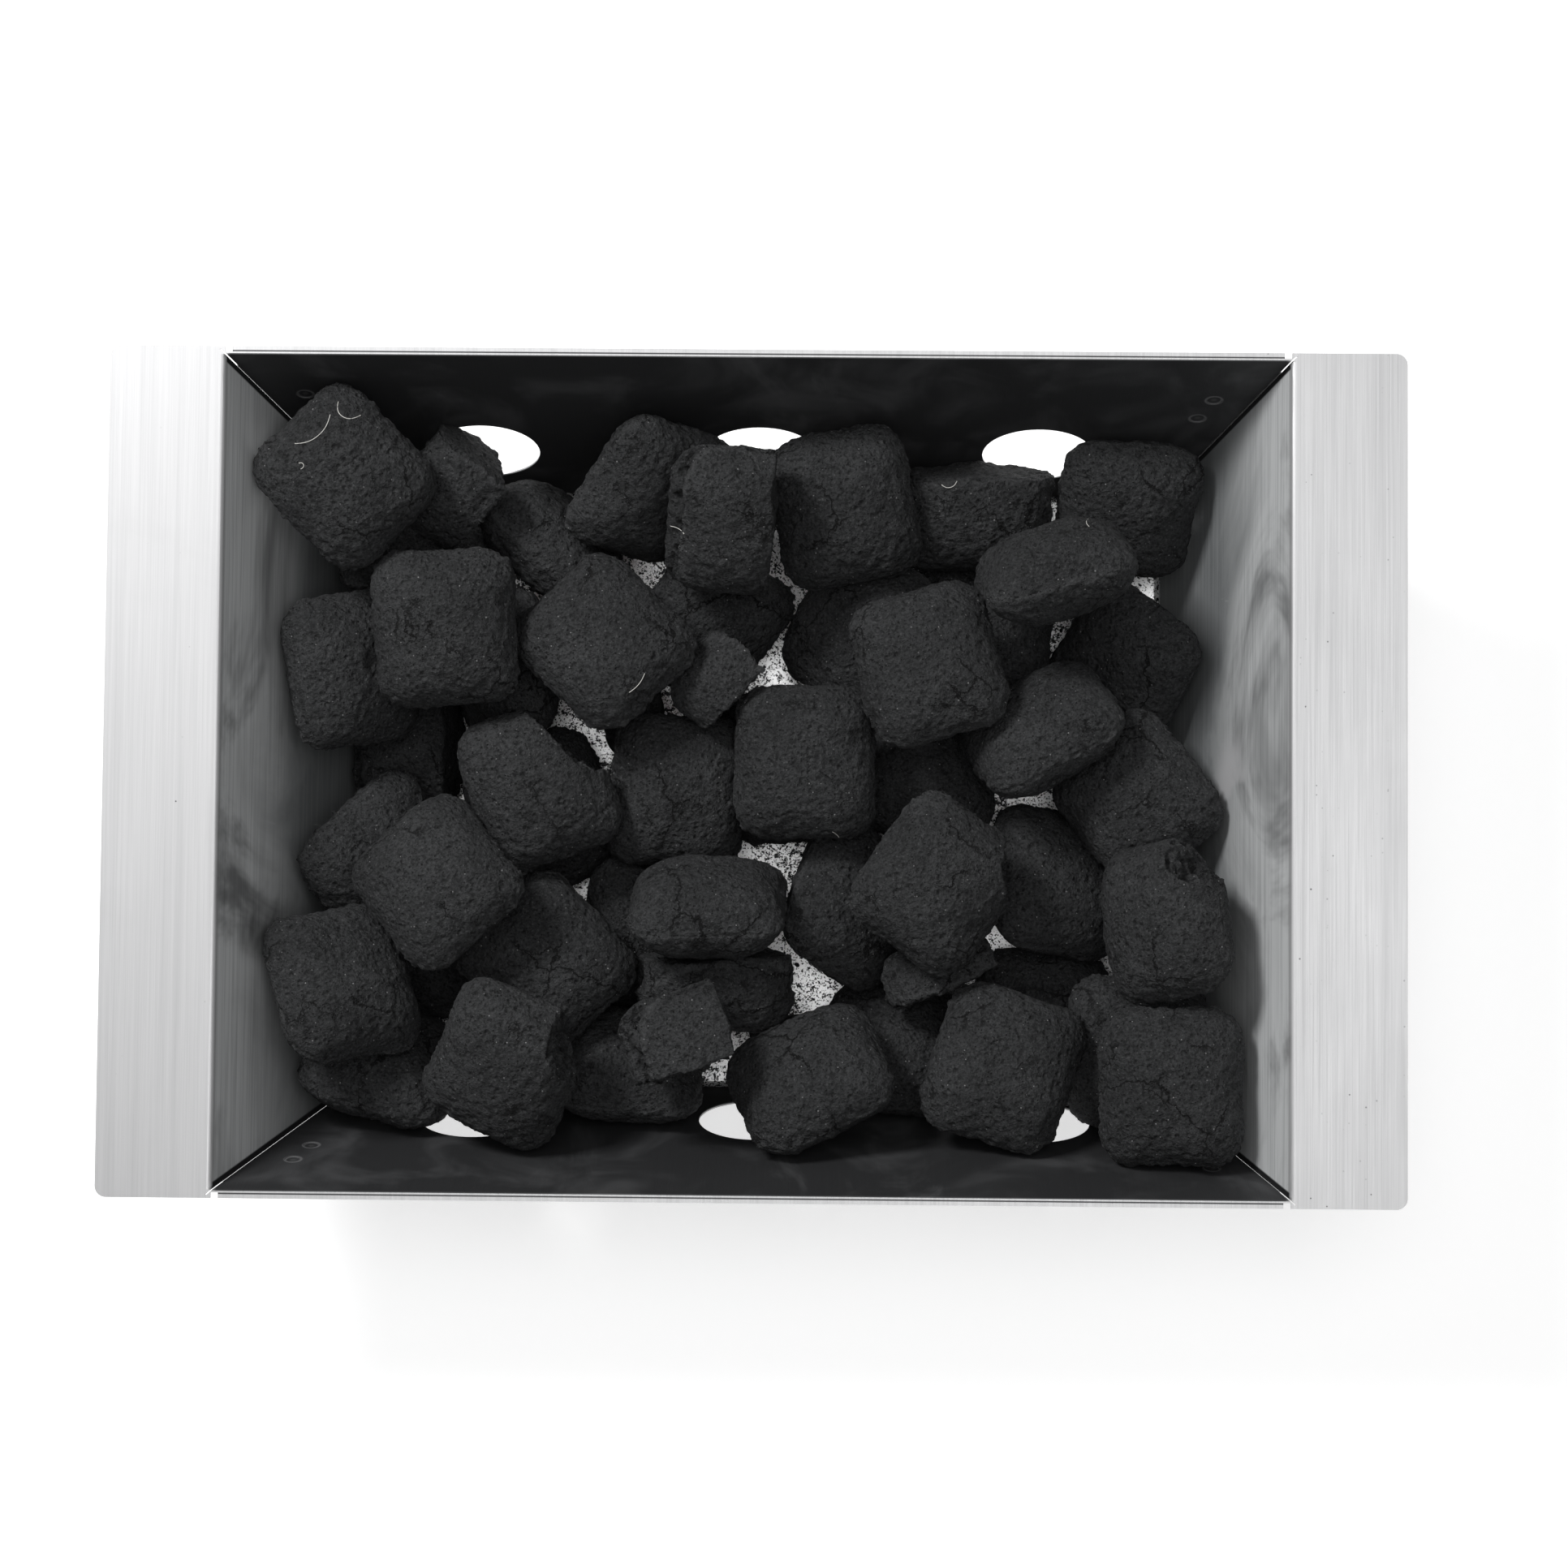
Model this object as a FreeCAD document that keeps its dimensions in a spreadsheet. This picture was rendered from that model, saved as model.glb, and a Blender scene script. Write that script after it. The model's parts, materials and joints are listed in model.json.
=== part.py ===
import FreeCAD
import Part
import math
import os
import Sketcher

# A folded sheet-metal tray filled with a loose charge of pillow-shaped charcoal briquettes.
# Millimetres, +Z up, +X along the long axis, origin at the centre of the underside.

doc = FreeCAD.newDocument("charcoal_tray")
sizes = doc.addObject("Spreadsheet::Sheet", "Sizes")

SIZE_ROWS = (
    ("tray_length", 460.0),
    ("tray_depth", 105.0),
    ("sheet", 1.0),
    ("floor_length", 302.4),
    ("floor_width", 224.8),
    ("mouth_length", 378.4),
    ("mouth_width", 295.4),
    ("flange_width", 301.4),
    ("flange_corner", 4.0),
    ("floor_bend", 2.5),
    ("flange_bend", 2.0),
    ("hem_gap", 1.0),
    ("hem_leg", 8.0),
    ("hem_end_notch", 2.0),
    ("mitre_gap", 0.6),
    ("tab_reach", 22.0),
    ("tab_foot", 12.6),
    ("vent_diameter", 41.0),
    ("vent_pitch", 103.0),
    ("vent_rise", 35.8),
    ("weld_diameter", 5.5),
    ("weld_dimple", 0.25),
    ("weld_from_mitre", 14.0),
    ("weld_first_drop", 30.0),
    ("weld_second_drop", 44.0),
    ("briquette_width", 52.0),
    ("briquette_length", 57.0),
    ("briquette_thickness", 32.5),
    ("seam_corner", 12.0),
    ("shoulder_share", 0.36),
    ("shoulder_inset", 2.2),
    ("shoulder_corner", 12.5),
    ("cheek_share", 0.67),
    ("cheek_inset", 6.5),
    ("cheek_corner", 12.0),
    ("brow_share", 0.88),
    ("brow_inset", 12.5),
    ("brow_corner", 9.5),
    ("crown_inset", 20.0),
    ("crown_corner", 3.5),
    ("clearance", 0.9),
)

for row, (alias, value) in enumerate(SIZE_ROWS, start=1):
    sizes.set("A" + str(row), alias)
    sizes.set("B" + str(row), str(value))
    sizes.setAlias("B" + str(row), alias)
doc.recompute()


def size(alias):
    """Value of one spreadsheet size, in millimetres."""
    return float(sizes.get(alias))


def cell(alias):
    """Expression text that points at one spreadsheet size."""
    return "Sizes." + alias


# ---------------------------------------------------------------------------
# Sketch helpers
# ---------------------------------------------------------------------------

def origin_plane(body, role):
    """One of the body's own origin planes, found by its role."""
    for feature in body.Origin.OriginFeatures:
        if feature.Role == role:
            return feature
    raise ValueError("no origin plane " + role)


def new_sketch(body, name, role="XY_Plane"):
    """Empty sketch lying on one origin plane of the body."""
    sketch = body.newObject("Sketcher::SketchObject", name)
    sketch.AttachmentSupport = [(origin_plane(body, role), "")]
    sketch.MapMode = "FlatFace"
    return sketch


def bind(sketch, constraint, name, expression):
    """Add one named dimension to a sketch and drive it from the spreadsheet."""
    index = sketch.addConstraint(constraint)
    sketch.renameConstraint(index, name)
    sketch.setExpression("Constraints." + name, expression)


def add_rectangle(sketch, half_x, half_y, x_expression, y_expression):
    """Rectangle centred on the sketch origin, both half sizes driven."""
    corners = [(-half_x, -half_y), (half_x, -half_y), (half_x, half_y), (-half_x, half_y)]
    add_loop(sketch, corners)
    for edge in (0, 2):
        sketch.addConstraint(Sketcher.Constraint("Horizontal", edge))
    for edge in (1, 3):
        sketch.addConstraint(Sketcher.Constraint("Vertical", edge))
    sketch.addConstraint(Sketcher.Constraint("Symmetric", 0, 1, 2, 1, -1, 1))
    bind(sketch, Sketcher.Constraint("DistanceX", -1, 1, 2, 1, half_x), "half_x", x_expression)
    bind(sketch, Sketcher.Constraint("DistanceY", -1, 1, 2, 1, half_y), "half_y", y_expression)


def add_loop(sketch, points):
    """Closed loop of straight lines through the points, joined end to end."""
    first = sketch.GeometryCount
    count = len(points)
    for index, start in enumerate(points):
        end = points[(index + 1) % count]
        line = Part.LineSegment(FreeCAD.Vector(*start, 0), FreeCAD.Vector(*end, 0))
        sketch.addGeometry(line, False)
    for index in range(count):
        follower = first + (index + 1) % count
        sketch.addConstraint(Sketcher.Constraint("Coincident", first + index, 2, follower, 1))
    return first


def add_driven_loop(sketch, corners):
    """Closed loop whose every corner has its own pair of driven dimensions.

    Each corner is (x value, y value, x expression, y expression).
    """
    first = add_loop(sketch, [(corner[0], corner[1]) for corner in corners])
    for index, (x, y, x_expression, y_expression) in enumerate(corners):
        tag = str(sketch.Name) + "_" + str(first + index)
        across = Sketcher.Constraint("DistanceX", -1, 1, first + index, 1, x)
        along = Sketcher.Constraint("DistanceY", -1, 1, first + index, 1, y)
        bind(sketch, across, "x_" + tag, x_expression)
        bind(sketch, along, "y_" + tag, y_expression)


def add_rounded_rectangle(sketch, half_x, half_y, corner, x_expression, y_expression, corner_expression):
    """Rounded rectangle centred on the sketch origin: four lines, four arcs."""
    inner_x = half_x - corner
    inner_y = half_y - corner
    axis = FreeCAD.Vector(0, 0, 1)
    quarter = math.pi / 2
    centres = ((inner_x, inner_y), (-inner_x, inner_y), (-inner_x, -inner_y), (inner_x, -inner_y))
    lines = (
        ((half_x, -inner_y), (half_x, inner_y)),
        ((inner_x, half_y), (-inner_x, half_y)),
        ((-half_x, inner_y), (-half_x, -inner_y)),
        ((-inner_x, -half_y), (inner_x, -half_y)),
    )
    for start, end in lines:
        sketch.addGeometry(Part.LineSegment(FreeCAD.Vector(*start, 0), FreeCAD.Vector(*end, 0)), False)
    for index, centre in enumerate(centres):
        circle = Part.Circle(FreeCAD.Vector(*centre, 0), axis, corner)
        sketch.addGeometry(Part.ArcOfCircle(circle, index * quarter, (index + 1) * quarter), False)
    for index in range(4):
        arc = 4 + index
        sketch.addConstraint(Sketcher.Constraint("Tangent", index, 2, arc, 1))
        sketch.addConstraint(Sketcher.Constraint("Tangent", arc, 2, (index + 1) % 4, 1))
    sketch.addConstraint(Sketcher.Constraint("Vertical", 0))
    sketch.addConstraint(Sketcher.Constraint("Horizontal", 1))
    for arc in (5, 6, 7):
        sketch.addConstraint(Sketcher.Constraint("Equal", 4, arc))
    sketch.addConstraint(Sketcher.Constraint("Symmetric", 4, 3, 6, 3, -1, 1))
    bind(sketch, Sketcher.Constraint("Radius", 4, corner), "corner", corner_expression)
    bind(sketch, Sketcher.Constraint("DistanceX", -1, 1, 0, 2, half_x), "half_x", x_expression)
    bind(sketch, Sketcher.Constraint("DistanceY", -1, 1, 1, 1, half_y), "half_y", y_expression)


# ---------------------------------------------------------------------------
# The tray: one sheet folded up on four sides, end flanges turned flat outwards,
# long edges folded over as hems, end-wall tabs spot welded behind the long walls
# ---------------------------------------------------------------------------

FLOOR_X = "Sizes.floor_length / 2"
FLOOR_Y = "Sizes.floor_width / 2"
MOUTH_X = "Sizes.mouth_length / 2"
MOUTH_Y = "Sizes.mouth_width / 2"
RISE = "(Sizes.tray_depth - Sizes.sheet)"
RUN_X = "((Sizes.mouth_length - Sizes.floor_length) / 2)"
RUN_Y = "((Sizes.mouth_width - Sizes.floor_width) / 2)"

sheet = size("sheet")
depth = size("tray_depth")
floor_x = size("floor_length") / 2
floor_y = size("floor_width") / 2
mouth_x = size("mouth_length") / 2
mouth_y = size("mouth_width") / 2
rise = depth - sheet
lean_x = (mouth_x - floor_x) / rise
lean_y = (mouth_y - floor_y) / rise
LEAN_X = "(" + RUN_X + " / " + RISE + ")"
LEAN_Y = "(" + RUN_Y + " / " + RISE + ")"

tray = doc.addObject("PartDesign::Body", "tray")
tray.Label = "tray"


def level(sketch, expression):
    """Lift a sketch off its plane by a driven height."""
    sketch.setExpression("AttachmentOffset.Base.z", expression)


def loft_between(body, kind, name, lower, upper):
    """Straight-sided loft from one sketch up to another."""
    loft = body.newObject("PartDesign::" + kind, name)
    loft.Profile = lower
    loft.Sections = [upper]
    loft.Ruled = True
    return loft


foot_outer = new_sketch(tray, "FootOuter")
foot_x = FLOOR_X + " + Sizes.sheet * (1 - " + LEAN_X + ")"
foot_y = FLOOR_Y + " + Sizes.sheet * (1 - " + LEAN_Y + ")"
add_rectangle(foot_outer, floor_x, floor_y, foot_x, foot_y)
mouth_outer = new_sketch(tray, "MouthOuter")
add_rectangle(mouth_outer, mouth_x, mouth_y, MOUTH_X + " + Sizes.sheet", MOUTH_Y + " + Sizes.sheet")
level(mouth_outer, cell("tray_depth"))
doc.recompute()
loft_between(tray, "AdditiveLoft", "PanBlock", foot_outer, mouth_outer)
doc.recompute()

foot_inner = new_sketch(tray, "FootInner")
add_rectangle(foot_inner, floor_x, floor_y, FLOOR_X, FLOOR_Y)
level(foot_inner, cell("sheet"))
mouth_inner = new_sketch(tray, "MouthInner")
add_rectangle(mouth_inner, mouth_x, mouth_y, MOUTH_X, MOUTH_Y)
level(mouth_inner, cell("tray_depth"))
doc.recompute()
loft_between(tray, "SubtractiveLoft", "PanHollow", foot_inner, mouth_inner)
doc.recompute()

# End flanges, each with its two outer corners rounded.
flange_end = size("tray_length") / 2
flange_half = size("flange_width") / 2
for side, sign in (("Right", 1), ("Left", -1)):
    flange = new_sketch(tray, "Flange" + side)
    sign_text = str(sign) + " * "
    add_driven_loop(flange, (
        (sign * mouth_x, -flange_half, sign_text + MOUTH_X, "-Sizes.flange_width / 2"),
        (sign * flange_end, -flange_half, sign_text + "Sizes.tray_length / 2", "-Sizes.flange_width / 2"),
        (sign * flange_end, flange_half, sign_text + "Sizes.tray_length / 2", "Sizes.flange_width / 2"),
        (sign * mouth_x, flange_half, sign_text + MOUTH_X, "Sizes.flange_width / 2"),
    ))
    level(flange, cell("tray_depth"))
    doc.recompute()
    plate = tray.newObject("PartDesign::Pad", "FlangePlate" + side)
    plate.Profile = flange
    plate.Reversed = True
    plate.setExpression("Length", cell("sheet"))
    doc.recompute()


def edges_where(shape, test):
    """Names of the edges of a shape that pass a test on their middle point and direction."""
    names = []
    for index, edge in enumerate(shape.Edges, start=1):
        middle = edge.valueAt((edge.FirstParameter + edge.LastParameter) / 2)
        direction = edge.Vertexes[-1].Point - edge.Vertexes[0].Point
        if direction.Length > 0 and test(middle, direction.normalize()):
            names.append("Edge" + str(index))
    return names


NEAR = 0.05
ALIGNED = 0.999


def fillet_edges(body, name, base, radius_expression, test):
    """Round the edges of the body that pass the test."""
    names = edges_where(base.Shape, test)
    if not names:
        raise ValueError("no edges for " + name)
    feature = body.newObject("PartDesign::Fillet", name)
    feature.Base = (base, names)
    feature.setExpression("Radius", radius_expression)
    doc.recompute()
    return feature


def is_floor_inner(middle, direction):
    """Long inner edges where the floor turns up into the walls."""
    return abs(middle.z - sheet) < NEAR and abs(direction.z) < NEAR


def is_floor_outer(middle, direction):
    """Matching outer edges underneath."""
    return abs(middle.z) < NEAR and abs(direction.z) < NEAR


def is_flange_bend(middle, direction):
    """Inner edge where an end wall turns over into its flange."""
    on_mouth = abs(abs(middle.x) - mouth_x) < NEAR and abs(middle.z - depth) < NEAR
    return on_mouth and abs(direction.y) > ALIGNED and abs(middle.y) < mouth_y / 2


def is_flange_corner(middle, direction):
    """Upright outer corners of the flanges."""
    outer = abs(abs(middle.x) - flange_end) < NEAR and abs(abs(middle.y) - flange_half) < NEAR
    return outer and abs(direction.z) > ALIGNED


fillet_edges(tray, "FloorBendInner", tray.Tip, cell("floor_bend"), is_floor_inner)
fillet_edges(tray, "FloorBendOuter", tray.Tip, "Sizes.floor_bend + Sizes.sheet", is_floor_outer)
fillet_edges(tray, "FlangeBend", tray.Tip, cell("flange_bend"), is_flange_bend)
fillet_edges(tray, "FlangeCorners", tray.Tip, cell("flange_corner"), is_flange_corner)

# Mitre gaps: a narrow upright slot down each corner frees the long wall from the end wall.
mitre = new_sketch(tray, "MitreGaps")
over = size("sheet") * 2
gap = size("mitre_gap")
OVER = "Sizes.sheet * 2"
SKEW = "(" + RUN_Y + " / " + RUN_X + ")"
skew = (mouth_y - floor_y) / (mouth_x - floor_x)
for sign_x in (1, -1):
    for sign_y in (1, -1):
        x_text = str(sign_x) + " * "
        y_text = str(sign_y) + " * "
        far_x = "(" + MOUTH_X + " + " + OVER + ")"
        far_y = "(" + MOUTH_Y + " + " + OVER + " * " + SKEW + ")"
        add_driven_loop(mitre, (
            (sign_x * floor_x, sign_y * floor_y, x_text + FLOOR_X, y_text + FLOOR_Y),
            (sign_x * (mouth_x + over), sign_y * (mouth_y + over * skew), x_text + far_x, y_text + far_y),
            (sign_x * (mouth_x + over - gap), sign_y * (mouth_y + over * skew),
             x_text + "(" + far_x + " - Sizes.mitre_gap)", y_text + far_y),
            (sign_x * (floor_x - gap), sign_y * floor_y,
             x_text + "(" + FLOOR_X + " - Sizes.mitre_gap)", y_text + FLOOR_Y),
        ))
MITRE_FOOT = "(Sizes.sheet + Sizes.floor_bend * 2)"
level(mitre, cell("tray_depth"))
doc.recompute()
mitre_cut = tray.newObject("PartDesign::Pocket", "MitreCut")
mitre_cut.Profile = mitre
mitre_cut.setExpression("Length", "Sizes.tray_depth - " + MITRE_FOOT)
doc.recompute()

# Hems: the long top edges folded outwards and down, with a narrow gap behind the leg.
hem = new_sketch(tray, "HemProfile", "YZ_Plane")
reach = sheet * 2 + size("hem_gap")
leg = size("hem_leg")
REACH = "Sizes.sheet * 2 + Sizes.hem_gap"
for sign in (1, -1):
    text = str(sign) + " * "
    drift = lean_y * leg
    add_driven_loop(hem, (
        (sign * mouth_y, depth, text + MOUTH_Y, cell("tray_depth")),
        (sign * (mouth_y + reach), depth, text + "(" + MOUTH_Y + " + " + REACH + ")", cell("tray_depth")),
        (sign * (mouth_y + reach - drift), depth - leg,
         text + "(" + MOUTH_Y + " + " + REACH + " - " + LEAN_Y + " * Sizes.hem_leg)",
         "Sizes.tray_depth - Sizes.hem_leg"),
        (sign * (mouth_y + reach - sheet - drift), depth - leg,
         text + "(" + MOUTH_Y + " + Sizes.sheet + Sizes.hem_gap - " + LEAN_Y + " * Sizes.hem_leg)",
         "Sizes.tray_depth - Sizes.hem_leg"),
        (sign * (mouth_y + reach - sheet), depth - sheet,
         text + "(" + MOUTH_Y + " + Sizes.sheet + Sizes.hem_gap)", "Sizes.tray_depth - Sizes.sheet"),
        (sign * (mouth_y + sheet - lean_y * sheet), depth - sheet,
         text + "(" + MOUTH_Y + " + Sizes.sheet - " + LEAN_Y + " * Sizes.sheet)",
         "Sizes.tray_depth - Sizes.sheet"),
    ))
doc.recompute()
hem_fold = tray.newObject("PartDesign::Pad", "HemFold")
hem_fold.Profile = hem
hem_fold.Midplane = True
hem_fold.setExpression("Length", "Sizes.mouth_length - 2 * Sizes.hem_end_notch - 2 * Sizes.mitre_gap")
doc.recompute()

# Tabs of the end walls, lying flat behind the long walls along each mitre.
TAB_LOW = cell("tab_foot")
TAB_HIGH = "(Sizes.tray_depth - Sizes.hem_leg - Sizes.sheet * 2)"
tab_levels = (("Low", size("tab_foot"), TAB_LOW), ("High", depth - leg - sheet * 2, TAB_HIGH))
for sign_x in (1, -1):
    for sign_y in (1, -1):
        tag = ("Right" if sign_x > 0 else "Left") + ("Back" if sign_y > 0 else "Front")
        x_text = str(sign_x) + " * "
        y_text = str(sign_y) + " * "
        sections = []
        for word, height, height_text in tab_levels:
            up = height - sheet
            corner_x = floor_x + lean_x * up
            corner_y = floor_y + lean_y * up
            up_text = "(" + height_text + " - Sizes.sheet)"
            corner_x_text = "(" + FLOOR_X + " + " + LEAN_X + " * " + up_text + ")"
            corner_y_text = "(" + FLOOR_Y + " + " + LEAN_Y + " * " + up_text + ")"
            near_x_text = x_text + "(" + corner_x_text + " - Sizes.tab_reach)"
            end_x_text = x_text + "(" + corner_x_text + " + Sizes.sheet)"
            low_y_text = y_text + "(" + corner_y_text + " + Sizes.sheet)"
            high_y_text = y_text + "(" + corner_y_text + " + Sizes.sheet * 2)"
            near_x = sign_x * (corner_x - size("tab_reach"))
            end_x = sign_x * (corner_x + sheet)
            section = new_sketch(tray, "Tab" + tag + word)
            add_driven_loop(section, (
                (near_x, sign_y * (corner_y + sheet), near_x_text, low_y_text),
                (end_x, sign_y * (corner_y + sheet), end_x_text, low_y_text),
                (end_x, sign_y * (corner_y + sheet * 2), end_x_text, high_y_text),
                (near_x, sign_y * (corner_y + sheet * 2), near_x_text, high_y_text),
            ))
            level(section, height_text)
            sections.append(section)
        doc.recompute()
        loft_between(tray, "AdditiveLoft", "Tab" + tag, sections[0], sections[1])
        doc.recompute()


def on_long_wall(name, sign):
    """Sketch lying in the inner face of a long wall, its origin on the top edge."""
    sketch = new_sketch(tray, name, "XZ_Plane")
    sketch.AttachmentOffset = FreeCAD.Placement(
        FreeCAD.Vector(0, depth, -sign * mouth_y), FreeCAD.Rotation(FreeCAD.Vector(1, 0, 0), 1.0))
    sketch.setExpression("AttachmentOffset.Base.y", cell("tray_depth"))
    sketch.setExpression("AttachmentOffset.Base.z", str(-sign) + " * " + MOUTH_Y)
    sketch.setExpression("AttachmentOffset.Rotation.Angle", str(-sign) + " * atan(" + LEAN_Y + ")")
    return sketch


def add_driven_circle(sketch, index, place, expressions, diameter_alias):
    """Circle with driven centre and diameter."""
    circle = Part.Circle(FreeCAD.Vector(*place, 0), FreeCAD.Vector(0, 0, 1), size(diameter_alias) / 2)
    geometry = sketch.addGeometry(circle, False)
    across = Sketcher.Constraint("DistanceX", -1, 1, geometry, 3, place[0])
    along = Sketcher.Constraint("DistanceY", -1, 1, geometry, 3, place[1])
    if place[0] == 0:
        sketch.addConstraint(Sketcher.Constraint("PointOnObject", geometry, 3, -2))
    else:
        bind(sketch, across, "x_" + str(index), expressions[0])
    bind(sketch, along, "y_" + str(index), expressions[1])
    diameter = Sketcher.Constraint("Diameter", geometry, size(diameter_alias))
    bind(sketch, diameter, "d_" + str(index), cell(diameter_alias))


VENT_PLACES = (-1, 0, 1)
slant_lean = math.hypot(1, lean_y)
VENT_DROP = "(" + RISE + " / cos(atan(" + LEAN_Y + ")) - Sizes.vent_rise)"
vent_drop = rise * slant_lean - size("vent_rise")
WELD_RUN = "(" + LEAN_X + " * cos(atan(" + LEAN_Y + ")))"
weld_run = lean_x / slant_lean
for side, sign in (("Back", 1), ("Front", -1)):
    vents = on_long_wall("Vents" + side, sign)
    for index, place in enumerate(VENT_PLACES):
        spot = (place * size("vent_pitch"), -vent_drop)
        texts = (str(place) + " * Sizes.vent_pitch", "-1 * " + VENT_DROP)
        add_driven_circle(vents, index, spot, texts, "vent_diameter")
    doc.recompute()
    vent_cut = tray.newObject("PartDesign::Pocket", "VentCut" + side)
    vent_cut.Profile = vents
    vent_cut.Midplane = True
    vent_cut.setExpression("Length", "Sizes.sheet * 20")
    doc.recompute()

    welds = on_long_wall("Welds" + side, sign)
    index = 0
    for hand in (1, -1):
        for alias in ("weld_first_drop", "weld_second_drop"):
            drop = size(alias)
            offset = mouth_x - drop * weld_run - size("weld_from_mitre")
            offset_text = "(" + MOUTH_X + " - Sizes." + alias + " * " + WELD_RUN + " - Sizes.weld_from_mitre)"
            texts = (str(hand) + " * " + offset_text, "-Sizes." + alias)
            add_driven_circle(welds, index, (hand * offset, -drop), texts, "weld_diameter")
            index += 1
    doc.recompute()
    weld_mark = tray.newObject("PartDesign::Pocket", "WeldMark" + side)
    weld_mark.Profile = welds
    weld_mark.Reversed = sign < 0
    weld_mark.setExpression("Length", cell("weld_dimple"))
    doc.recompute()

# ---------------------------------------------------------------------------
# Briquettes: pressed pillows with a seam round the middle; some are broken
# ---------------------------------------------------------------------------

# Rings of one half of a pillow, from the seam up to the crown:
# (height share of the half thickness, inset alias, corner alias)
RINGS = (
    (None, None, "seam_corner"),
    ("shoulder_share", "shoulder_inset", "shoulder_corner"),
    ("cheek_share", "cheek_inset", "cheek_corner"),
    ("brow_share", "brow_inset", "brow_corner"),
    ("full", "crown_inset", "crown_corner"),
)

# Broken outlines: straight cuts given as shares of the half width and half length.
# Each cut is the part taken away: a list of corners in those shares.
FAR = 1.3
BREAKS = {
    "whole": (),
    "half": (((0.10, -FAR), (0.16, -0.35), (0.06, 0.30), (0.12, FAR), (FAR, FAR), (FAR, -FAR)),),
    "side": (((0.44, -FAR), (0.50, 0.10), (0.42, 0.55), (0.46, FAR), (FAR, FAR), (FAR, -FAR)),),
    "third": (((-0.28, -FAR), (-0.22, 0.10), (-0.30, FAR), (FAR, FAR), (FAR, -FAR)),),
    "sliver": ((
        (-0.28, -FAR), (-0.22, 0.10), (-0.28, 0.44), (-FAR, 0.50), (-FAR, FAR), (FAR, FAR), (FAR, -FAR)),),
    "stub": ((
        (0.10, -FAR), (0.14, 0.30), (-0.30, 0.36), (-FAR, 0.32), (-FAR, FAR), (FAR, FAR), (FAR, -FAR)),),
    "bit": ((
        (-0.15, -FAR), (-0.12, 0.02), (-0.60, 0.12), (-FAR, 0.08), (-FAR, FAR), (FAR, FAR), (FAR, -FAR)),),
    "corner": (((FAR, -0.20), (0.62, 0.02), (0.40, 0.50), (-0.02, FAR), (FAR, FAR)),),
    "chip": (((FAR, 0.10), (0.78, 0.36), (0.52, 0.58), (0.30, FAR), (FAR, FAR)),),
}

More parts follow.
